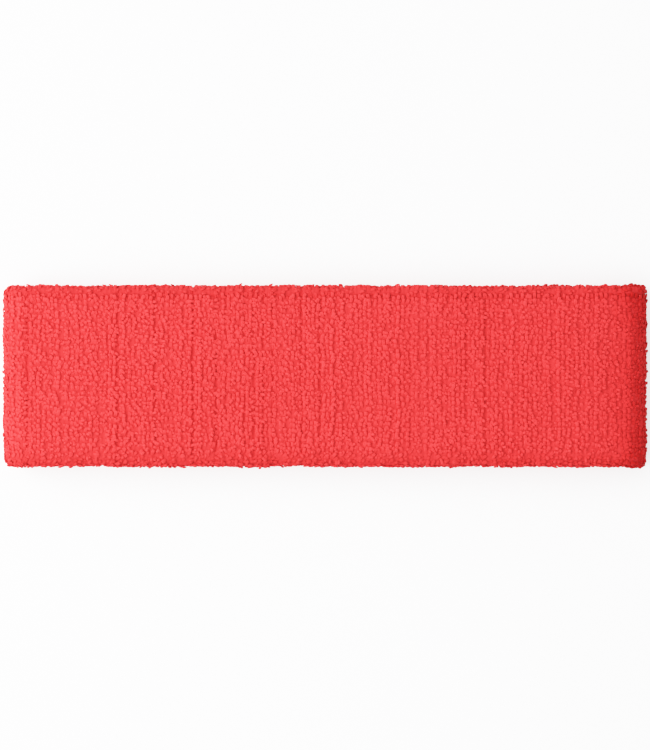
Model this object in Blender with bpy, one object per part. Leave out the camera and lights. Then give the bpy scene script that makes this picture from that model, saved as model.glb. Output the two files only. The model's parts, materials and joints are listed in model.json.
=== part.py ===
"""Terry sports headband, lying flat.

One knitted cloth is folded double into a band of two plies, and its raw edges meet on the skin side
in one overlocked seam. Terry pile stands on both faces of the band, and two elastic yarns run round
the loop between the plies.

Metres, +Z up. X runs along the flattened loop, Y across the band, Z through its thickness. The
origin is on the surface that the band rests on, under its middle.
"""

import math

import bmesh
import bpy

# Driving dimensions
FLAT_LENGTH = 0.180  # fold to fold, with the loop pressed flat
BAND_HEIGHT = 0.0506
HEAD_GAP = 0.0050  # between the two walls of the flattened loop
PILE_DEPTH = 0.00115
GROUND_DEPTH = 0.0005
CORE_DEPTH = 0.0011  # room for the elastic, between the plies
LAYER_GAP = 0.0003
ELASTIC_DIAMETER = 0.0005
ELASTIC_PITCH = 0.0062
ELASTIC_TURNS = 5.5
THREAD_DIAMETER = 0.0003
SEAM_FROM_EDGE = 0.0055
ELASTIC_FROM_SEAM = 0.0045  # the first turn of the first yarn
SEAM_STITCHES = 50
LOOPER_REACH = 0.0015  # how far a looper thread swings to each side of the seam
NEEDLE_SWING = 0.00015

# Worked out from those
HALF_HEIGHT = BAND_HEIGHT / 2
WALL_DEPTH = 2 * (PILE_DEPTH + LAYER_GAP + GROUND_DEPTH) + CORE_DEPTH
PILE_OUTSIDE = WALL_DEPTH / 2  # each of these is a distance from the middle of a wall
PILE_INSIDE = PILE_OUTSIDE - PILE_DEPTH
GROUND_OUTSIDE = PILE_INSIDE - LAYER_GAP
GROUND_INSIDE = GROUND_OUTSIDE - GROUND_DEPTH
GROUND_MIDDLE = (GROUND_OUTSIDE + GROUND_INSIDE) / 2
EDGE_CENTRE = HALF_HEIGHT - PILE_OUTSIDE  # the rounded edges of the band turn about this height
FOLD_RADIUS = (HEAD_GAP + WALL_DEPTH) / 2  # of a wall's middle, round an end fold
STRAIGHT = FLAT_LENGTH - 2 * (FOLD_RADIUS + PILE_OUTSIDE)
LOOP_LENGTH = 2 * STRAIGHT + 2 * math.pi * FOLD_RADIUS
MIDDLE_Z = FOLD_RADIUS + PILE_OUTSIDE
THREAD_RADIUS = THREAD_DIAMETER / 2
SEAM_Y = SEAM_FROM_EDGE - HALF_HEIGHT
SLIT_HALF = NEEDLE_SWING + THREAD_RADIUS + LAYER_GAP
RECESS_HALF = LOOPER_REACH + THREAD_RADIUS + LAYER_GAP
UPPER_LOOPER_LEVEL = -(GROUND_OUTSIDE + LAYER_GAP + THREAD_RADIUS)
LOWER_LOOPER_LEVEL = -(GROUND_INSIDE - LAYER_GAP - THREAD_RADIUS)
FIRST_ELASTIC_Y = SEAM_Y + ELASTIC_FROM_SEAM

# Facets
FOLD_SEGMENTS = 12
YARN_FOLD_SEGMENTS = 8
PILE_EDGE_SEGMENTS = 8
GROUND_EDGE_SEGMENTS = 6

CORAL = (0.80, 0.075, 0.085)
PALE_CORAL = (0.83, 0.17, 0.16)
ELASTIC_WHITE = (0.86, 0.80, 0.76)


def clear_scene():
    for obj in list(bpy.data.objects):
        bpy.data.objects.remove(obj, do_unlink=True)


def material(name, colour, roughness):
    made = bpy.data.materials.new(name)
    made.use_nodes = True
    shader = made.node_tree.nodes["Principled BSDF"]
    shader.inputs["Base Color"].default_value = (*colour, 1.0)
    shader.inputs["Roughness"].default_value = roughness
    shader.inputs["Metallic"].default_value = 0.0
    return made


def loop_point(along, y, out):
    """The place at a distance along the loop from the middle of its lower wall, a height across the
    band, and a distance out from the middle of the wall."""
    along %= LOOP_LENGTH
    fold = math.pi * FOLD_RADIUS
    reach = FOLD_RADIUS + out
    if along < STRAIGHT / 2:
        return along, y, MIDDLE_Z - reach
    along -= STRAIGHT / 2
    if along < fold:
        turn = along / FOLD_RADIUS
        return STRAIGHT / 2 + reach * math.sin(turn), y, MIDDLE_Z - reach * math.cos(turn)
    along -= fold
    if along < STRAIGHT:
        return STRAIGHT / 2 - along, y, MIDDLE_Z + reach
    along -= STRAIGHT
    if along < fold:
        turn = along / FOLD_RADIUS
        return -STRAIGHT / 2 - reach * math.sin(turn), y, MIDDLE_Z + reach * math.cos(turn)
    return along - fold - STRAIGHT / 2, y, MIDDLE_Z - reach


def loop_stations(fold_segments):
    """Distances along one turn of the loop: each straight's ends, and steps round both folds."""
    fold = math.pi * FOLD_RADIUS
    steps = [fold * i / fold_segments for i in range(fold_segments + 1)]
    right = [STRAIGHT / 2 + step for step in steps]
    left = [STRAIGHT * 1.5 + fold + step for step in steps]
    return right + left


def round_edge(side, radius, start, end, segments):
    """Points (y, out) round one edge of the band. side is -1 for the lower edge and 1 for the upper;
    the angle runs from -90 degrees on the skin side to 90 degrees on the outside."""
    points = []
    for i in range(segments + 1):
        angle = start + (end - start) * i / segments
        y = side * (EDGE_CENTRE + radius * math.cos(angle))
        points.append((y, radius * math.sin(angle)))
    return points


def ply_run(radius, seam_half, segments):
    """A line round both plies at a distance from the middle of the wall, from the seam's lower side
    round the lower edge, up the outside, over the upper edge and down to the seam's upper side."""
    quarter = math.pi / 2
    return (
        [(SEAM_Y - seam_half, -radius)]
        + round_edge(-1, radius, -quarter, quarter, segments)
        + round_edge(1, radius, quarter, -quarter, segments)
        + [(SEAM_Y + seam_half, -radius)]
    )


def outer_pile_run(radius):
    """The part of that line that the outer pile covers: it stops at the turning course."""
    quarter = math.pi / 2
    turning = math.asin(LAYER_GAP / 2 / radius)
    return (
        [(SEAM_Y - RECESS_HALF, -radius)]
        + round_edge(-1, radius, -quarter, quarter, PILE_EDGE_SEGMENTS)
        + round_edge(1, radius, quarter, turning, PILE_EDGE_SEGMENTS // 2)
    )


def inner_pile_run(radius):
    turning = math.asin(LAYER_GAP / 2 / radius)
    return round_edge(1, radius, -turning, -math.pi / 2, PILE_EDGE_SEGMENTS // 2) + [
        (SEAM_Y + RECESS_HALF, -radius)
    ]


def swept_round_loop(name, section, finish):
    """A closed section, as (y, out) points, carried once round the loop."""
    mesh = bpy.data.meshes.new(name)
    work = bmesh.new()
    rings = [
        [work.verts.new(loop_point(along, y, out)) for y, out in section]
        for along in loop_stations(FOLD_SEGMENTS)
    ]
    for ring, following in zip(rings, rings[1:] + rings[:1]):
        for i in range(len(section)):
            j = (i + 1) % len(section)
            work.faces.new((ring[i], ring[j], following[j], following[i]))
    bmesh.ops.recalc_face_normals(work, faces=work.faces)
    work.to_mesh(mesh)
    work.free()
    mesh.shade_smooth()
    mesh.set_sharp_from_angle(angle=math.radians(40))
    mesh.materials.append(finish)
    obj = bpy.data.objects.new(name, mesh)
    bpy.context.scene.collection.objects.link(obj)
    return obj


def yarn(name, points, diameter, sides, closed, finish):
    """A round yarn along the points, as a curve with a bevel."""
    curve = bpy.data.curves.new(name, "CURVE")
    curve.dimensions = "3D"
    curve.bevel_depth = diameter / 2
    curve.bevel_resolution = (sides - 4) // 2
    curve.use_fill_caps = True
    spline = curve.splines.new("POLY")
    spline.points.add(len(points) - 1)
    for point, place in zip(spline.points, points):
        point.co = (*place, 1.0)
    spline.use_cyclic_u = closed
    spline.use_smooth = True
    curve.materials.append(finish)
    obj = bpy.data.objects.new(name, curve)
    bpy.context.scene.collection.objects.link(obj)
    return obj


def make_ground_knit():
    section = ply_run(GROUND_OUTSIDE, SLIT_HALF, GROUND_EDGE_SEGMENTS)
    section += reversed(ply_run(GROUND_INSIDE, SLIT_HALF, GROUND_EDGE_SEGMENTS))
    swept_round_loop("ground_knit", section, material("ground_knit", PALE_CORAL, 0.80))


def make_pile(name, run):
    section = run(PILE_OUTSIDE) + list(reversed(run(PILE_INSIDE)))
    swept_round_loop(name, section, material(name, CORAL, 0.95))


def make_elastic(name, first_y):
    """An elastic yarn laid in as a helix round the loop, from the seam up to the upper edge."""
    turns = math.ceil(ELASTIC_TURNS)
    along = [turn * LOOP_LENGTH + s for turn in range(turns) for s in loop_stations(YARN_FOLD_SEGMENTS)]
    last = ELASTIC_TURNS * LOOP_LENGTH
    along = [0.0] + [s for s in along if s < last] + [last]
    points = [loop_point(s, first_y + ELASTIC_PITCH * s / LOOP_LENGTH, 0.0) for s in along]
    yarn(name, points, ELASTIC_DIAMETER, 6, False, material(name, ELASTIC_WHITE, 0.55))


def make_looper_thread(name, level, phase):
    """An overlock looper thread: it swings from one raw edge to the other, twice in each stitch."""
    stitch = LOOP_LENGTH / SEAM_STITCHES
    swing = ((0.10, 1), (0.40, 1), (0.60, -1), (0.90, -1))
    points = []
    for i in range(SEAM_STITCHES):
        for share, side in swing:
            along = (i + share + phase) * stitch
            points.append(loop_point(along, SEAM_Y + side * LOOPER_REACH, level))
    yarn(name, points, THREAD_DIAMETER, 4, True, material(name, CORAL, 0.60))


def make_needle_thread():
    """The overlock needle thread: it runs along the seam between the raw edges."""
    count = 2 * SEAM_STITCHES
    points = []
    for i in range(count):
        side = 1 if i % 2 else -1
        along = LOOP_LENGTH * i / count
        points.append(loop_point(along, SEAM_Y + side * NEEDLE_SWING, -GROUND_MIDDLE))
    name = "seam_needle_thread"
    yarn(name, points, THREAD_DIAMETER, 4, True, material(name, CORAL, 0.60))


def main():
    clear_scene()
    make_pile("terry_pile_outer", outer_pile_run)
    make_pile("terry_pile_inner", inner_pile_run)
    make_ground_knit()
    make_elastic("elastic_yarn_outer_ply", FIRST_ELASTIC_Y)
    make_elastic("elastic_yarn_inner_ply", FIRST_ELASTIC_Y + ELASTIC_PITCH / 2)
    make_needle_thread()
    make_looper_thread("seam_upper_looper_thread", UPPER_LOOPER_LEVEL, 0.0)
    make_looper_thread("seam_lower_looper_thread", LOWER_LOOPER_LEVEL, 0.5)


main()
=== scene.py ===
import json
import math

import bpy
import numpy as np
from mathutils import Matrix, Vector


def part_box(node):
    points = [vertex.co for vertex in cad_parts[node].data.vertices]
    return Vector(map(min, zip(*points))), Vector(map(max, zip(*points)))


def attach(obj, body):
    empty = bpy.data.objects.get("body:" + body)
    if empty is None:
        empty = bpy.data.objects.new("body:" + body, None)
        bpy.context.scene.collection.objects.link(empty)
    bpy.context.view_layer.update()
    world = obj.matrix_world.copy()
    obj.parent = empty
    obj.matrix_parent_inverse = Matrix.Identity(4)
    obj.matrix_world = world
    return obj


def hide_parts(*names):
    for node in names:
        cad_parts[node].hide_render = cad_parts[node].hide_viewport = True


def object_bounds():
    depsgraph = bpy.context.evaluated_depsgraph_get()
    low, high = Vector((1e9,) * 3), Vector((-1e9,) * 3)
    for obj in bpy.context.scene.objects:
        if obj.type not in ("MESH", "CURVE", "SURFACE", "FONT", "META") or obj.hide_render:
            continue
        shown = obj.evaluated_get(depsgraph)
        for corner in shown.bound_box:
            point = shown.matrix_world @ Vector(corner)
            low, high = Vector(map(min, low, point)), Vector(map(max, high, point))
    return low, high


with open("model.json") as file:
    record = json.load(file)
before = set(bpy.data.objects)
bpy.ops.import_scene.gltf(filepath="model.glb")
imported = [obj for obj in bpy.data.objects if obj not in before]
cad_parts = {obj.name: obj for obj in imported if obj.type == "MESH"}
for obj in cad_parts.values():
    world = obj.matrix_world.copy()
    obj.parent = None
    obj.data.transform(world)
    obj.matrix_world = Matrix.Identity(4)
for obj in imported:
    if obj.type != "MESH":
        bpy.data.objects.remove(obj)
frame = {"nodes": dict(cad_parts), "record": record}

CAD_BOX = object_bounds()
MM = 0.001
MOUNTS = {mount["name"]: mount["pos_m"] for mount in frame["record"]["mounts"]}

# The band's own sizes, from the frame
LENGTH = CAD_BOX[1].x - CAD_BOX[0].x
HALF_HEIGHT = (CAD_BOX[1].y - CAD_BOX[0].y) / 2
TOP_Z = MOUNTS["outer_front_face"][2]
WALL = TOP_Z - MOUNTS["forehead_contact"][2]
HEAD_GAP = MOUNTS["forehead_contact"][2] - MOUNTS["nape_contact"][2]
MIDDLE_Z = TOP_Z / 2
FOLD_RADIUS = (WALL + HEAD_GAP) / 2  # of a wall's middle, round an end fold
STRAIGHT = LENGTH - 2 * (FOLD_RADIUS + WALL / 2)
GROUND_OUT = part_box("ground_knit")[1].z - MIDDLE_Z - FOLD_RADIUS  # its outside, from a wall's middle
RIM_FULLNESS = 0.28 * MM  # how much further out the soft pile stands on the rims
EDGE_CENTRE = HALF_HEIGHT - WALL / 2 + RIM_FULLNESS  # the rounded edges turn about this height
RIM_SQUARENESS = 0.13  # how far the rounded edges stand out at 45 degrees, as a share
CORNER_SQUARENESS = 0.13  # more than that at the right-hand end, less at the left-hand one
CORNER_START = 0.45 * LENGTH
CORNER_END = 0.485 * LENGTH
RIGHT_DROOP = 0.05  # the flattened loop is thinner near its right-hand end, as a share
DROOP_START = LENGTH * 0.39
DROOP_END = LENGTH * 0.46
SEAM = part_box("seam_upper_looper_thread")
SEAM_LOW, SEAM_HIGH = SEAM[0].y, SEAM[1].y

PILE_MIDDLE = GROUND_OUT + 0.8 * MM  # girths and pitches are measured this far from a wall's middle
FLOOR_CLEARANCE = 0.1 * MM  # of the ground cloth

# Places round a wall, as girths from the lower side of the seam
QUARTER_TURN = math.pi * PILE_MIDDLE / 2
LOWER_EDGE = SEAM_LOW + EDGE_CENTRE + QUARTER_TURN
UPPER_EDGE = LOWER_EDGE + 2 * EDGE_CENTRE + 2 * QUARTER_TURN
GIRTH_END = UPPER_EDGE + QUARTER_TURN + EDGE_CENTRE - SEAM_HIGH
LOWER_GROOVE = LOWER_EDGE + QUARTER_TURN - 1.0 * MM
UPPER_GROOVE = UPPER_EDGE - QUARTER_TURN - 0.9 * MM
GROOVE_WIDTH = 0.75 * MM
LOWER_GROOVE_DEPTH = 0.35  # as a share of the pile's height
UPPER_GROOVE_DEPTH = 0.62
LOWER_NAP_END = LOWER_EDGE + QUARTER_TURN + 2.0 * MM  # below it the pile lies another way
PILE_START = 0.9 * MM  # clear of the seam
PILE_END = GIRTH_END - 0.3 * MM

# The knit
WALE_PITCH = 2.62 * MM
LOOP_SINK = 0.25 * MM  # how deep a loop's feet go into the ground cloth

# Rib loops lie up the band, along the ribs, and rung loops lie across them. columns is how many stand in
# a wale. lean is how far a loop lies over towards -X from straight up the band. jitter, slip, turn, bend
# and curl are standard deviations: of its place along the band and, in pitches, up it, of its lie, and of
# its tip's shift and turn. spread and uneven are those of its length and its height, as shares, and
# flipped is the share of loops that lie the other way round.
RIB_LOOPS = {
    "columns": 2, "offset": 0.5, "pairing": 0.06, "pitch": 1.42 * MM, "jitter": 0.06 * MM, "spread": 0.10,
    "slip": 0.15, "width": 0.36 * MM, "length": 1.85 * MM, "height": 0.98 * MM, "lean": 0.0, "turn": 0.075,
    "flipped": 0.02, "radius": 0.34 * MM, "bend": 0.12 * MM, "curl": 0.15, "uneven": 0.06,
}
RUNG_LOOPS = {
    "columns": 2, "offset": 0.5, "pairing": 0.06, "pitch": 1.42 * MM, "jitter": 0.10 * MM, "spread": 0.14,
    "slip": 0.12, "width": 0.16 * MM, "length": 1.35 * MM, "height": 1.06 * MM, "lean": 1.45, "turn": 0.20,
    "flipped": 0.5, "radius": 0.32 * MM, "bend": 0.10 * MM, "curl": 0.20, "uneven": 0.08,
}
TIP_BREADTH = 0.9  # a loop's round tip takes this times width / (width + length) of its yarn
TIP_SHARES = (0.22, 0.6)  # but no less and no more than these
LEG_TAPER = 0.20  # how much closer its legs stand at their feet
LOOP_ARCH = 2.2  # how steeply it rises before it lies over
YARN_FLATNESS = 0.4  # how much thinner than round its yarn is, in the pile's standing direction

# Needle lines, where two wales part: each one's place, in half wales from the middle of the upper wall
# towards -X, and its gap
NEEDLE_LINES = (
    (63.1, 0.30 * MM), (44, 0.15 * MM), (36, 0.15 * MM), (28, 0.24 * MM), (23, 0.28 * MM), (21, 0.16 * MM),
    (17, 0.20 * MM), (15, 0.22 * MM), (13, 0.17 * MM), (11, 0.20 * MM), (5, 0.18 * MM), (1, 0.22 * MM),
    (-18, 0.10 * MM), (-30, 0.14 * MM), (-34, 0.18 * MM),
)
GAP_EDGE = 0.2 * MM  # how soft the sides of a gap are
GAP_REACH = 1.6 * MM  # how far from a line the yarns still move aside
ROOT_GAP_WIDTH = 0.5 * MM
ROOT_GAP_DEPTH = 2.8 / MM  # how low the roots stand there, as a share, for each metre of a line's gap

# How unlike one another the loops are
LOOSE_LEFT = 1.25  # the knit is looser towards its left-hand end
LOOSE_RIGHT = 0.85
WALE_DRIFT = 0.38 * MM  # how far the ribs wander from their places
WALE_PATCH = 5 * MM
COURSE_DRIFT = 0.60 * MM  # and the rows
COURSE_PATCH = 4 * MM
WALE_SEED = 73
COURSE_SEED = 74
COLUMN_SHIFT = 0.15 * MM
COLUMN_UNEVEN = 0.09  # in height, from column to column
PAIR_UNEVEN = 0.05  # and between the two columns of a wale
WIDTH_UNEVEN = 0.10
RADIUS_UNEVEN = 0.07
NAP_TURN = 0.13  # how far the pile's lie turns from patch to patch
NAP_PATCH = 7 * MM
LOWER_BORDER_NAP = -0.85  # how the pile lies on the lower rim, as a lean
BORDER_NAP_WIDTH = 2 * MM

# How the tone changes at random from loop to loop and from place to place, with painted shade added to it
# in places; a lower tone is deeper in colour
LOOP_TONE = 0.35
COLUMN_TONE = 0.4
PATCH_TONE = 0.5
TONE_PATCH = 14 * MM
END_PAINTED_SHADE = 1.5  # painted shade: lower at the right-hand end, away from the lamps on the left, than at the left-hand one
RIM_PAINTED_SHADE = 3.2  # painted shade: lower on the rims, which turn away from the lamps and where the pile is seen from the side
RIM_PAINTED_SHADE_WIDTH = 3.4 * MM
GROOVE_PAINTED_SHADE = 3.6  # painted shade: lower in the grooves beside them
FOLD_PAINTED_SHADE = 6.5  # painted shade: lower round the right-hand fold, which turns away from the lamps
FOLD_PAINTED_SHADE_START = 0.42 * LENGTH
FOLD_PAINTED_SHADE_END = 0.495 * LENGTH

# Lumps and waves of the whole cloth, and how much larger they are on the rims
BROAD_PATCH = 11 * MM
BROAD_LUMPS = 0.10 * MM
BROAD_RIM_LUMPS = 0.16 * MM
FINE_PATCH = 3.6 * MM
FINE_LUMPS = 0.17 * MM
FINE_RIM_LUMPS = 0.06 * MM
RIM_LUMP_WIDTH = 3 * MM
BROAD_SEED = 71
FINE_SEED = 72

# Ground cloth
GROUND_DEPTH = 0.4 * MM
ROOT_HEIGHT = 0.82 * MM  # of the dense roots of the pile, above the ground cloth
RIB_RELIEF = 0.2  # how much of that height comes and goes with the ribs
COURSE_RELIEF = 0.1  # and with the rows
RAW_EDGE = 0.6 * MM  # how far from the seam the roots reach their height

# View
CAMERA_HEIGHT = 3.0
CAMERA_Y = 0.0003  # the band lies this far below the middle of the view
VIEW_HEIGHT = LENGTH * 1.1605  # what the tall frame takes in, so that the band nearly fills its width
VIEW_LEVEL = 0.7 * TOP_Z  # the height above the floor at which it takes in that much
FLOOR_HALF = 12.0  # half of the floor's side
FILM_SPEED = 3.6  # of the camera's response
FILM_WHITE = 1.6

# Colour
PILE_HEIGHT = 1.45 * MM
FLANK_DEPTH = 1.0  # how much higher a yarn's top counts than its centre, and its underside lower, in its radii: painted shade, which leaves the yarn's sides and underside deeper in colour than its top
DEEPEST = -1.3  # how far past its root colour, towards darker, the pile may go
ROOT_LEVEL = 0.2  # heights in the pile, as shares of PILE_HEIGHT, of the root and the tip colour
TIP_LEVEL = 1.35
TONE_AND_SHADE_STRENGTH = 0.22  # how far one unit of tone and painted shade shifts the colour from root to tip
DIAGONAL_WAVE_PITCH = 0.628  # along one axis, of Blender's wave texture in diagonal bands at scale 1
WHITE = (1, 1, 1, 1)
FLOOR_GREY = (0.66, 0.66, 0.66, 1)
SHEEN_PINK = (1.0, 0.55, 0.52, 1)
# Painted shade: the deeper root colour stands for the shade low in the pile and on the yarns' sides, and
# the lighter tip colour is used at their tops
TERRY_ROOT_SHADE = (0.535, 0.0158, 0.0164)
TERRY_TIP = (0.69, 0.0238, 0.0252)
# Painted shade: the ground cloth is deeper in colour than the pile, standing for the shade down between
# the loops
CLOTH_DEEP = (0.44, 0.0133, 0.0139)
CLOTH_LIGHT = (0.50, 0.0156, 0.0163)
# Painted shade: the deep yarn colours fall in the grooves between the plies
THREAD_DEEP = (0.44, 0.010, 0.012)
THREAD_LIGHT = (0.66, 0.026, 0.028)
ELASTIC_DEEP = (0.60, 0.47, 0.43)
ELASTIC_LIGHT = (0.82, 0.68, 0.63)


def rounded_edge(rest, out, squareness):
    """(sideways, out) of points on a rounded edge of a wall. rest is how far along it they lie."""
    angle = np.clip(rest / PILE_MIDDLE, 0, math.pi)
    full = out * (1 + squareness * np.sin(2 * angle) ** 2)
    return full * np.sin(angle), full * np.cos(angle)


def wall_section(girth, rise, squareness):
    """(y, out) of points round a wall. girth runs from the lower side of the seam, down the skin side,
    round the lower edge, up the outside, round the upper edge and down to the upper side of the seam.
    rise is above the ground cloth, and squareness is how far the rounded edges stand out at 45 degrees,
    as a share."""
    out = GROUND_OUT + rise
    lower = LOWER_EDGE - QUARTER_TURN
    face = LOWER_EDGE + QUARTER_TURN
    upper = UPPER_EDGE - QUARTER_TURN
    back = UPPER_EDGE + QUARTER_TURN
    low_side, low_out = rounded_edge(girth - lower, out, squareness)
    high_side, high_out = rounded_edge(girth - upper, out, squareness)
    parts = [girth < lower, girth < face, girth < upper, girth < back]
    y = np.select(
        parts,
        [SEAM_LOW - girth, -EDGE_CENTRE - low_side, girth - face - EDGE_CENTRE, EDGE_CENTRE + high_side],
        EDGE_CENTRE + back - girth,
    )
    return y, np.select(parts, [-out, -low_out, out, high_out], -out)


def groove(girth):
    """How tall the pile stands at a girth, as a share: it is pressed down beside both rims."""
    upper = np.exp(-(((girth - UPPER_GROOVE) / GROOVE_WIDTH) ** 2))
    lower = np.exp(-(((girth - LOWER_GROOVE) / GROOVE_WIDTH) ** 2))
    return 1 - UPPER_GROOVE_DEPTH * upper - LOWER_GROOVE_DEPTH * lower


def swell(s, g):
    """Small lumps and waves of the whole cloth, larger along the rims."""
    near = rims(g, RIM_LUMP_WIDTH)
    broad = (BROAD_LUMPS + BROAD_RIM_LUMPS * near) * BROAD(s, g)
    return broad + (FINE_LUMPS + FINE_RIM_LUMPS * near) * FINE(s, g)


def rims(girth, width):
    """1 on both rims of the wall, falling to 0 over a width."""
    upper = np.exp(-(((girth - UPPER_EDGE) / width) ** 2))
    return upper + np.exp(-(((girth - LOWER_EDGE) / width) ** 2))


def loop_length(reach):
    """Length of the flattened loop at a distance reach outside the middle of its walls."""
    return 2 * STRAIGHT + 2 * math.pi * (FOLD_RADIUS + reach)


def on_loop(along, out, reach):
    """(x, z) of points along the flattened loop, from the middle of its upper wall towards -X. along is
    measured at a distance reach from the walls' middle."""
    radius = FOLD_RADIUS + reach
    fold = math.pi * radius
    half = STRAIGHT / 2
    s = np.mod(along, loop_length(reach))
    r = FOLD_RADIUS + out
    under = half + fold
    right = under + STRAIGHT
    above = right + fold
    left_angle = np.clip((s - half) / radius, 0, math.pi)
    right_angle = np.clip((s - right) / radius, 0, math.pi)
    parts = [s < half, s < under, s < right, s < above]
    x = np.select(
        parts,
        [-s, -half - r * np.sin(left_angle), s - under - half, half + r * np.sin(right_angle)],
        half + above - s,
    )
    z = np.select(parts, [r, r * np.cos(left_angle), -r, -r * np.cos(right_angle)], r)
    return x, (z + MIDDLE_Z) * (1 - RIGHT_DROOP * smooth_step(x, DROOP_START, DROOP_END))


def placed(along, girth, rise, reach):
    """Points in space, from places along the loop, girths round a wall and rises above the ground
    cloth."""
    x, _ = on_loop(along, 0 * rise, reach)
    corner = smooth_step(np.abs(x), CORNER_START, CORNER_END)
    y, out = wall_section(girth, rise, RIM_SQUARENESS + CORNER_SQUARENESS * corner * np.sign(x))
    x, z = on_loop(along, out, reach)
    return np.stack([x, y, z], axis=-1)


def patches(seed, length, width, cell):
    """A smooth field of values from -1 to 1 that repeats round the loop, as a function."""
    rng = np.random.default_rng(seed)
    across, up = max(3, round(length / cell)), max(3, round(width / cell) + 2)
    values = rng.uniform(-1, 1, (across, up))

    def field(along, girth):
        a = np.mod(along / length, 1) * across
        b = np.clip(girth / width, 0, 1) * (up - 1.001)  # just under the last row, so that j + 1 exists
        i, j = a.astype(int), b.astype(int)
        fa, fb = a - i, b - j
        fa, fb = fa * fa * (3 - 2 * fa), fb * fb * (3 - 2 * fb)
        i %= across
        k = (i + 1) % across
        low = values[i, j] * (1 - fa) + values[k, j] * fa
        high = values[i, j + 1] * (1 - fa) + values[k, j + 1] * fa
        return low * (1 - fb) + high * fb

    return field


BROAD = patches(BROAD_SEED, loop_length(PILE_MIDDLE), GIRTH_END, BROAD_PATCH)
FINE = patches(FINE_SEED, loop_length(PILE_MIDDLE), GIRTH_END, FINE_PATCH)


def tubes(name, paths, rise, outward, radius, sides, tone_and_shade):
    """One mesh of closed tubes along paths, (tubes, points, 3). Two attributes are kept for the material:
    a tone and painted shade for each tube, and how high each vertex stands in the pile, for painted shade."""
    count, points, _ = paths.shape
    tangent = np.gradient(paths, axis=1)
    tangent /= np.linalg.norm(tangent, axis=2, keepdims=True)
    middle = paths[:, points // 2, None]
    spread = paths[:, -1:] - paths[:, :1]
    apex = middle - (paths[:, :1] + paths[:, -1:]) / 2
    axis = np.cross(spread, apex)
    axis /= np.linalg.norm(axis, axis=2, keepdims=True)
    side = np.cross(axis, tangent)
    side /= np.linalg.norm(side, axis=2, keepdims=True)
    other = np.cross(tangent, side)
    angle = 2 * math.pi * np.arange(sides) / sides
    ring = side[:, :, None] * np.cos(angle)[:, None] + other[:, :, None] * np.sin(angle)[:, None]
    facing = (ring * outward[:, :, None]).sum(axis=-1)
    ring = ring - YARN_FLATNESS * facing[..., None] * outward[:, :, None]
    verts = (paths[:, :, None] + ring * radius[:, :, None, None]).reshape(-1, 3)
    start = (np.arange(count) * points * sides)[:, None, None]
    row = (np.arange(points - 1) * sides)[None, :, None]
    i = np.arange(sides)[None, None]
    j = (i + 1) % sides
    near = start + row
    far = near + sides
    quads = np.stack([near + i, near + j, far + j, far + i], -1).reshape(-1, 4)
    first = start[:, 0] + np.arange(sides)[::-1]
    last = start[:, 0] + (points - 1) * sides + np.arange(sides)
    caps = np.concatenate([first, last])
    corners = np.concatenate([quads.ravel(), caps.ravel()])
    sizes = np.concatenate([np.full(len(quads), 4), np.full(len(caps), sides)])
    mesh = bpy.data.meshes.new(name)
    mesh.vertices.add(len(verts))
    mesh.vertices.foreach_set("co", verts.astype(np.float32).ravel())
    mesh.loops.add(len(corners))
    mesh.loops.foreach_set("vertex_index", corners.astype(np.int32))
    mesh.polygons.add(len(sizes))
    starts = np.concatenate([[0], np.cumsum(sizes)[:-1]])
    mesh.polygons.foreach_set("loop_start", starts.astype(np.int32))
    mesh.update(calc_edges=True)
    mesh.shade_smooth()
    point_values(mesh, "loop_tone_and_shade", np.repeat(tone_and_shade, points * sides))
    # Painted shade: points low in the pile and a yarn's sides and underside get a lower level, and so a
    # deeper colour
    level = (rise[:, :, None] + FLANK_DEPTH * facing * radius[:, :, None]) / PILE_HEIGHT
    point_values(mesh, "pile_height", level.ravel())
    return in_scene(name, mesh)


def point_values(mesh, name, values):
    attribute = mesh.attributes.new(name, "FLOAT", "POINT")
    attribute.data.foreach_set("value", values.astype(np.float32))


def in_scene(name, data):
    """A new object with this data, linked to the scene."""
    obj = bpy.data.objects.new(name, data)
    bpy.context.scene.collection.objects.link(obj)
    return obj


def smooth_step(value, low, high):
    """0 up to low, 1 from high on, and a smooth change between them."""
    share = np.clip((value - low) / (high - low), 0, 1)
    return share * share * (3 - 2 * share)


def hairpins(along, girth, reach, points, shape):
    """Centre lines of terry loops whose feet stand at (along, girth). Each is two legs with a round tip;
    it rises from the ground cloth and lies over towards its tip."""
    width, length, height, heading, bend, curl = (v[:, None] for v in shape)
    t = np.linspace(-1, 1, points)[None]
    tip = np.clip(TIP_BREADTH * width / (width + length), *TIP_SHARES)
    turn = np.clip(t / tip, -1, 1) * math.pi / 2
    across = width / 2 * np.sin(turn)
    out = np.clip((np.abs(t) - tip) / (1 - tip), 0, 1)
    up = (length - width / 2) * (1 - out) + width / 2 * np.cos(turn) * (out <= 0)
    share = up / length
    across = across * (1 - LEG_TAPER * (1 - share)) + bend * share * share
    heading = heading + curl * share
    rise = -LOOP_SINK + (height + LOOP_SINK) * (1 - (1 - np.clip(share, 0, 1)) ** LOOP_ARCH)
    s = along[:, None] + across * np.cos(heading) + up * np.sin(heading)
    g = girth[:, None] - across * np.sin(heading) + up * np.cos(heading)
    s = needle_gaps(s, reach)
    waved = rise + swell(s, g)
    centre = placed(s, g, waved, reach)
    step = 0.1 * MM
    outward = placed(s, g, waved + step, reach) - centre
    return centre, rise, outward / step


def needle_lines(s, reach):
    """For every needle line: how far s is from it along the loop, and the line's gap."""
    pitch = wale_pitch(reach)
    length = loop_length(reach)
    for line, gap in NEEDLE_LINES:
        yield np.mod(s - line * pitch / 2 + length / 2, length) - length / 2, gap


def needle_gaps(s, reach):
    """Moves the yarn aside at the needle lines, so that a groove is left between two wales."""
    moved = s
    for away, gap in needle_lines(s, reach):
        moved = moved + gap * np.tanh(away / GAP_EDGE) * np.exp(-((away / GAP_REACH) ** 2))
    return moved


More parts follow.
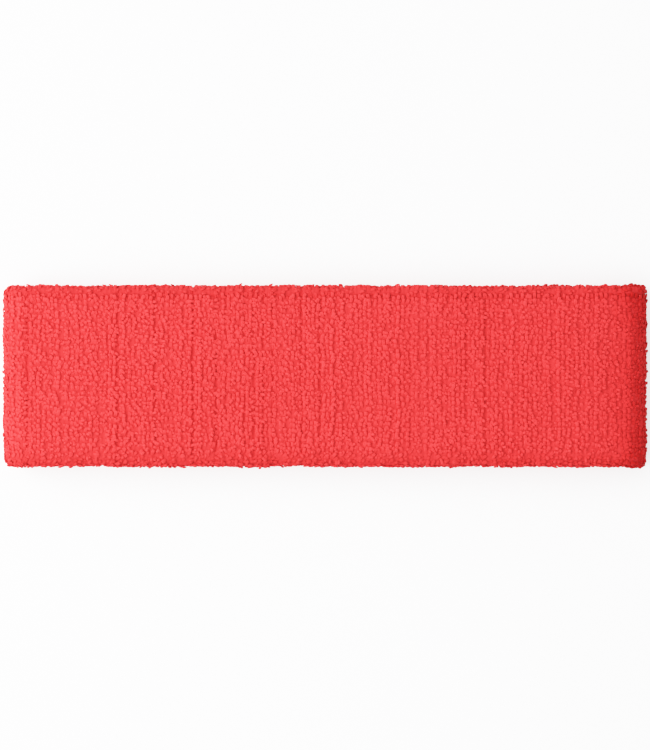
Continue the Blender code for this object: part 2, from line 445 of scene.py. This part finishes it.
def needle_depth(s, reach):
    """How high the roots of the pile stand, as a share: low at the needle lines."""
    share = np.ones_like(s)
    for away, gap in needle_lines(s, reach):
        share = share - min(1.0, ROOT_GAP_DEPTH * gap) * np.exp(-((away / ROOT_GAP_WIDTH) ** 2))
    return np.maximum(share, 0)


def wale_pitch(reach):
    """The pitch nearest to WALE_PITCH that fits the loop a whole number of times."""
    length = loop_length(reach)
    return length / round(length / WALE_PITCH)


def field(name, seed, first, last, reach, kind, points, sides, pieces):
    """A field of terry loops between two girths, in a few pieces round the loop."""
    rng = np.random.default_rng(seed)
    pitch = wale_pitch(reach)
    length = loop_length(reach)
    columns = round(length / pitch) * kind["columns"]
    courses = round((last - first) / kind["pitch"])
    w, c = np.meshgrid(np.arange(columns), np.arange(courses), indexing="ij")
    w, c = w.ravel(), c.ravel()
    n = len(w)
    along = (w + kind["offset"] + kind["pairing"] * (-1.0) ** w) * length / columns
    girth = first + (c + 0.5) * (last - first) / courses
    nap = patches(seed + 1, length, GIRTH_END, NAP_PATCH)
    tone_field = patches(seed + 3, length, GIRTH_END, TONE_PATCH)
    x, _ = on_loop(along, np.zeros(n), reach)
    loose = LOOSE_LEFT - (LOOSE_LEFT - LOOSE_RIGHT) * smooth_step(x, -LENGTH / 2, LENGTH / 4)
    column_shift = COLUMN_SHIFT * rng.normal(0, 1, columns)
    wale_drift = WALE_DRIFT * patches(WALE_SEED, length, GIRTH_END, WALE_PATCH)(along, girth)
    course_drift = COURSE_DRIFT * patches(COURSE_SEED, length, GIRTH_END, COURSE_PATCH)(along, girth)
    s = along + column_shift[w] + wale_drift + kind["jitter"] * loose * rng.normal(0, 1, n)
    g = girth + course_drift + kind["pitch"] * kind["slip"] * rng.normal(0, 1, n)
    size = np.exp(kind["spread"] * rng.normal(0, 1, n))
    width = kind["width"] * rng.normal(1, WIDTH_UNEVEN, n)
    long = kind["length"] * size
    column_height = 1 + COLUMN_UNEVEN * rng.normal(0, 1, columns)
    column_height += PAIR_UNEVEN * (-1) ** np.arange(columns)
    height = kind["height"] * rng.normal(1, kind["uneven"], n) * column_height[w] * groove(g)
    height *= (1 + needle_depth(s, reach)) / 2
    border = smooth_step(g, LOWER_NAP_END, LOWER_NAP_END - BORDER_NAP_WIDTH)
    heading = kind["lean"] * (1 - border) + LOWER_BORDER_NAP * border
    heading += kind["turn"] * loose * rng.normal(0, 1, n) + NAP_TURN * nap(along, girth)
    flipped = rng.random(n) < kind["flipped"]
    heading = np.where(flipped, heading + math.pi, heading)
    bend = kind["bend"] * loose * rng.normal(0, 1, n)
    curl = kind["curl"] * loose * rng.normal(0, 1, n)
    lines, rise, outward = hairpins(s, g, reach, points, (width, long, height, heading, bend, curl))
    radius = kind["radius"] * rng.normal(1, RADIUS_UNEVEN, (n, 1)) * np.ones((1, points))
    lines[..., 2] = np.maximum(lines[..., 2], radius)
    tone_and_shade = rng.normal(0, LOOP_TONE, n) + PATCH_TONE * tone_field(along, girth)
    tone_and_shade += COLUMN_TONE * rng.normal(0, 1, columns)[w]
    # Painted shade: the tone is lowered on the rims, round the right-hand fold, towards the right-hand end
    # and in the grooves beside the rims
    tone_and_shade -= RIM_PAINTED_SHADE * rims(g, RIM_PAINTED_SHADE_WIDTH) + FOLD_PAINTED_SHADE * smooth_step(x, FOLD_PAINTED_SHADE_START, FOLD_PAINTED_SHADE_END)
    tone_and_shade -= END_PAINTED_SHADE * x / LENGTH + GROOVE_PAINTED_SHADE * (1 - groove(g))
    made = []
    for k in range(pieces):
        mine = (w * pieces // columns) == k
        shape = lines[mine], rise[mine], outward[mine], radius[mine]
        made.append(tubes(f"{name}_{k + 1}", *shape, sides, tone_and_shade[mine]))
    return made


def ground_cloth(name, columns, rows):
    """The knitted ground, a closed sheet from one side of the seam round to the other, with the pile's
    roots standing on it as ribs."""
    length = loop_length(PILE_MIDDLE)
    s = np.arange(columns) * length / columns
    g = np.linspace(0, GIRTH_END, rows)
    along, girth = np.meshgrid(s, g, indexing="ij")
    # Two ribs to a wale, highest under its two columns of loops
    rib = 0.5 + 0.5 * np.cos(4 * math.pi * (along / wale_pitch(PILE_MIDDLE) - 0.25))
    course = 0.5 + 0.5 * np.cos(2 * math.pi * girth / RIB_LOOPS["pitch"])
    relief = ROOT_HEIGHT * (1 - RIB_RELIEF * (1 - rib) - COURSE_RELIEF * (1 - course))
    end = smooth_step(girth, 0, RAW_EDGE) * smooth_step(GIRTH_END - girth, 0, RAW_EDGE)
    relief = relief * groove(girth) * needle_depth(along, PILE_MIDDLE)
    front = placed(along, girth, (relief + swell(along, girth)) * end, PILE_MIDDLE)
    back = placed(along, girth, -GROUND_DEPTH * np.ones_like(girth), PILE_MIDDLE)
    front[..., 2] = np.maximum(front[..., 2], FLOOR_CLEARANCE)
    verts = np.concatenate([front.reshape(-1, 3), back.reshape(-1, 3)])
    half = columns * rows
    i = np.arange(columns)[:, None]
    j = np.arange(rows - 1)[None]
    a = i * rows + j
    b = (i + 1) % columns * rows + j
    top = np.stack([a, a + 1, b + 1, b], -1).reshape(-1, 4)
    bottom = np.stack([a, b, b + 1, a + 1], -1).reshape(-1, 4) + half
    i = np.arange(columns)
    k = (i + 1) % columns
    low = np.stack([i * rows, k * rows, k * rows + half, i * rows + half], -1)
    high = np.stack([i * rows, i * rows + half, k * rows + half, k * rows], -1)
    high = high + (rows - 1)
    quads = np.concatenate([top, bottom, low, high])
    mesh = bpy.data.meshes.new(name)
    mesh.from_pydata(verts.tolist(), [], quads.tolist())
    mesh.shade_smooth()
    return in_scene(name, mesh)


def node_material(name):
    made = bpy.data.materials.new(name)
    made.use_nodes = True
    return made, made.node_tree.nodes, made.node_tree.links, made.node_tree.nodes["Principled BSDF"]


def object_noise(nodes, links, scale, detail):
    """A noise texture in object coordinates; its value."""
    place = nodes.new("ShaderNodeTexCoord")
    noise = nodes.new("ShaderNodeTexNoise")
    noise.inputs["Scale"].default_value = scale
    noise.inputs["Detail"].default_value = detail
    links.new(place.outputs["Object"], noise.inputs["Vector"])
    return noise.outputs["Fac"]


def mix_colours(nodes, links, shader, value, low, high):
    """Mixes the base colour by a value, from low to high. Returns the mixing node."""
    colour = nodes.new("ShaderNodeMix")
    colour.data_type = "RGBA"
    colour.inputs["A"].default_value = (*low, 1)
    colour.inputs["B"].default_value = (*high, 1)
    links.new(value, colour.inputs["Factor"])
    links.new(colour.outputs["Result"], shader.inputs["Base Color"])
    return colour


def add_bump(nodes, links, shader, value, strength, distance):
    bump = nodes.new("ShaderNodeBump")
    bump.inputs["Strength"].default_value = strength
    bump.inputs["Distance"].default_value = distance
    links.new(value, bump.inputs["Height"])
    links.new(bump.outputs["Normal"], shader.inputs["Normal"])


def terry_material(name, root, tip):
    """Cotton pile, with painted shade: deeper in colour low in the pile and on its yarns' sides, lighter
    at its tips, each loop a little different.
    """
    made, nodes, links, shader = node_material(name)
    # Painted shade: the colour follows each point's height in the pile, from the deep root colour to the
    # tip colour, shifted by each loop's tone and painted shade
    height = nodes.new("ShaderNodeAttribute")
    height.attribute_name = "pile_height"
    tone_and_shade = nodes.new("ShaderNodeAttribute")
    tone_and_shade.attribute_name = "loop_tone_and_shade"
    level = nodes.new("ShaderNodeMapRange")
    level.interpolation_type = "SMOOTHSTEP"
    level.inputs["From Min"].default_value = ROOT_LEVEL
    level.inputs["From Max"].default_value = TIP_LEVEL
    links.new(height.outputs["Fac"], level.inputs["Value"])
    shift = nodes.new("ShaderNodeMath")
    shift.operation = "MULTIPLY_ADD"
    shift.inputs[1].default_value = TONE_AND_SHADE_STRENGTH
    links.new(tone_and_shade.outputs["Fac"], shift.inputs[0])
    links.new(level.outputs["Result"], shift.inputs[2])
    span = nodes.new("ShaderNodeClamp")
    span.inputs["Min"].default_value = DEEPEST
    links.new(shift.outputs["Value"], span.inputs["Value"])
    colour = mix_colours(nodes, links, shader, span.outputs["Result"], root, tip)
    colour.clamp_factor = False
    fibre = object_noise(nodes, links, scale=2600, detail=4)
    add_bump(nodes, links, shader, fibre, strength=0.12, distance=0.2 * MM)
    rough = nodes.new("ShaderNodeMapRange")
    rough.inputs["To Min"].default_value = 0.85
    rough.inputs["To Max"].default_value = 1.0
    links.new(fibre, rough.inputs["Value"])
    links.new(rough.outputs["Result"], shader.inputs["Roughness"])
    shader.inputs["Specular IOR Level"].default_value = 0.05
    shader.inputs["Sheen Weight"].default_value = 0.02
    shader.inputs["Sheen Roughness"].default_value = 0.5
    shader.inputs["Sheen Tint"].default_value = SHEEN_PINK
    return made


def cloth_material(name, deep, light):
    """Plain knitted cloth: two close colours mixed at random by a fine noise, which also makes it bumpy,
    so that the deeper colour is also painted shade in the bumps' hollows.
    """
    made, nodes, links, shader = node_material(name)
    noise = object_noise(nodes, links, scale=1400, detail=3)
    mix_colours(nodes, links, shader, noise, deep, light)
    add_bump(nodes, links, shader, noise, strength=0.15, distance=0.2 * MM)
    shader.inputs["Roughness"].default_value = 0.95
    shader.inputs["Specular IOR Level"].default_value = 0.04
    return made


def yarn_material(name, deep, light, roughness, pitch):
    """Twisted yarn: uneven slanting plies, with painted shade making it darker in the grooves between
    them.
    pitch is from one ply to the next, along the yarn."""
    made, nodes, links, shader = node_material(name)
    place = nodes.new("ShaderNodeTexCoord")
    plies = nodes.new("ShaderNodeTexWave")
    plies.bands_direction = "DIAGONAL"
    plies.inputs["Scale"].default_value = DIAGONAL_WAVE_PITCH / pitch
    plies.inputs["Distortion"].default_value = 0.6
    plies.inputs["Detail"].default_value = 1
    links.new(place.outputs["Object"], plies.inputs["Vector"])
    mix_colours(nodes, links, shader, plies.outputs["Fac"], deep, light)
    add_bump(nodes, links, shader, plies.outputs["Fac"], strength=0.4, distance=0.1 * MM)
    shader.inputs["Roughness"].default_value = roughness
    shader.inputs["Specular IOR Level"].default_value = 0.2
    return made


def make_studio():
    scene = bpy.context.scene
    scene.view_settings.view_transform = "Standard"
    film_response(scene, FILM_SPEED, FILM_WHITE)
    scene.cycles.diffuse_bounces = 12
    scene.cycles.max_bounces = 16
    mesh = bpy.data.meshes.new("floor")
    corners = [(x * FLOOR_HALF, y * FLOOR_HALF, 0) for x, y in ((-1, -1), (1, -1), (1, 1), (-1, 1))]
    mesh.from_pydata(corners, [], [(0, 1, 2, 3)])
    floor = in_scene("floor", mesh)
    made, _, _, shader = node_material("floor")
    shader.inputs["Base Color"].default_value = FLOOR_GREY
    shader.inputs["Emission Color"].default_value = WHITE
    shader.inputs["Emission Strength"].default_value = 0.22
    shader.inputs["Roughness"].default_value = 0.9
    mesh.materials.append(made)
    world = scene.world or bpy.data.worlds.new("studio")
    scene.world = world
    world.use_nodes = True
    background = world.node_tree.nodes["Background"]
    background.inputs["Color"].default_value = WHITE
    background.inputs["Strength"].default_value = 0.40
    softbox("side_softbox", (-0.46, 0.03, 0.32), side=0.45, power=2.5)
    softbox("top_softbox", (-0.33, 0.0, 0.74), side=1.20, power=6.3)


def softbox(name, place, side, power):
    """A square area lamp aimed at the middle of the floor."""
    lamp = bpy.data.lights.new(name, "AREA")
    lamp.shape = "SQUARE"
    lamp.size = side
    lamp.energy = power
    light = in_scene(name, lamp)
    light.location = place
    light.rotation_mode = "QUATERNION"
    light.rotation_quaternion = (-light.location).to_track_quat("-Z", "Y")


def film_response(scene, speed, white):
    """The camera's response: highlights roll off gently, each channel by itself. white is the linear
    value at the curve's end, and speed is how fast it rises."""
    mapping = scene.view_settings.curve_mapping
    mapping.white_level = (white, white, white)
    curve = mapping.curves[3]
    steps = 16
    for k in range(1, steps):
        curve.points.new(k / steps, 1 - math.exp(-speed * white * k / steps))
    curve.points[-1].location = (1, 1 - math.exp(-speed * white))
    mapping.update()
    scene.view_settings.use_curve_mapping = True


def make_camera():
    data = bpy.data.cameras.new("camera")
    data.lens = data.sensor_width * (CAMERA_HEIGHT - VIEW_LEVEL) / VIEW_HEIGHT
    data.clip_end = 2 * CAMERA_HEIGHT
    camera = in_scene("camera", data)
    camera.location = (0.0, CAMERA_Y, CAMERA_HEIGHT)
    bpy.context.scene.camera = camera


make_studio()
make_camera()
terry_outer = terry_material("terry_outer", TERRY_ROOT_SHADE, TERRY_TIP)
terry_inner = terry_material("terry_inner", TERRY_ROOT_SHADE, TERRY_TIP)

outer = field(
    "outer_rib_loops", 11, PILE_START, UPPER_EDGE, PILE_MIDDLE, RIB_LOOPS, points=8, sides=6, pieces=8
)
outer += field(
    "outer_rung_loops", 23, PILE_START, UPPER_EDGE, PILE_MIDDLE, RUNG_LOOPS, points=10, sides=6, pieces=2
)
inner = field(
    "inner_rib_loops", 37, UPPER_EDGE, PILE_END, -PILE_MIDDLE, RIB_LOOPS, points=6, sides=5, pieces=3
)
for piece in outer:
    piece.data.materials.append(terry_outer)
    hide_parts("terry_pile_outer")
    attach(piece, "root")
for piece in inner:
    piece.data.materials.append(terry_inner)
    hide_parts("terry_pile_inner")
    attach(piece, "root")
cloth = cloth_material("ground_cloth", CLOTH_DEEP, CLOTH_LIGHT)
ground = ground_cloth("ground_cloth", columns=1100, rows=190)
ground.data.materials.append(cloth)
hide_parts("ground_knit")
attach(ground, "root")
thread = yarn_material("seam_thread", THREAD_DEEP, THREAD_LIGHT, roughness=0.6, pitch=0.8 * MM)
for node in ("seam_needle_thread", "seam_upper_looper_thread", "seam_lower_looper_thread"):
    frame["nodes"][node].material_slots[0].material = thread
elastic = yarn_material("elastic_yarn", ELASTIC_DEEP, ELASTIC_LIGHT, roughness=0.45, pitch=1.0 * MM)
for node in ("elastic_yarn_outer_ply", "elastic_yarn_inner_ply"):
    frame["nodes"][node].material_slots[0].material = elastic
